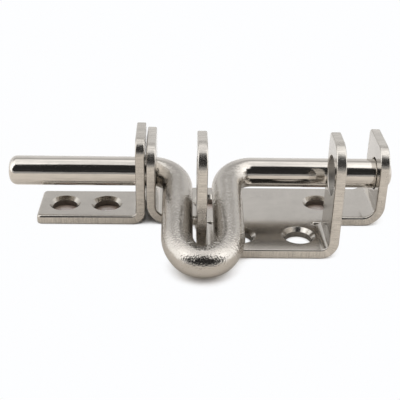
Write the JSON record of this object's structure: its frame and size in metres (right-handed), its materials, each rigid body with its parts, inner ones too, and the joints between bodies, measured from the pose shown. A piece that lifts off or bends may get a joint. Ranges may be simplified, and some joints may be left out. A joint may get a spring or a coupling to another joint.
{
  "type": "toggle bolt latch",
  "caption": "Padlockable sliding toggle bolt: a bent round bolt turns in a bent sheet bracket with padlock tabs and shoots into a matching keeper.",
  "frame": {"origin": "on the mounting face, straight under the bolt's axis, at the middle of the bracket's length", "axes": "X along the bolt with its nose at -X, Y across it with the handle at -Y, +Z away from the door"},
  "size_m": [0.1236, 0.0571, 0.0358],
  "materials": {
    "sheet_steel": "stainless sheet, tumble polished to a soft mirror",
    "rod_steel": "stainless round bar, polished"
  },
  "bodies": {
    "bracket": {"bracket": "sheet_steel"},
    "bolt": {"bolt": "rod_steel"},
    "keeper": {"keeper": "sheet_steel"}
  },
  "joints": [
    {"name": "bolt_turn", "type": "hinge", "parent": "bracket", "child": "bolt", "pos_m": [0, 0, 0.0149], "axis": [-1, 0, 0], "range_deg": [0, 205]},
    {"name": "keeper_slide", "type": "slide", "parent": "bracket", "child": "keeper", "axis": [-1, 0, 0], "range_m": [0, 0.046]}
  ]
}
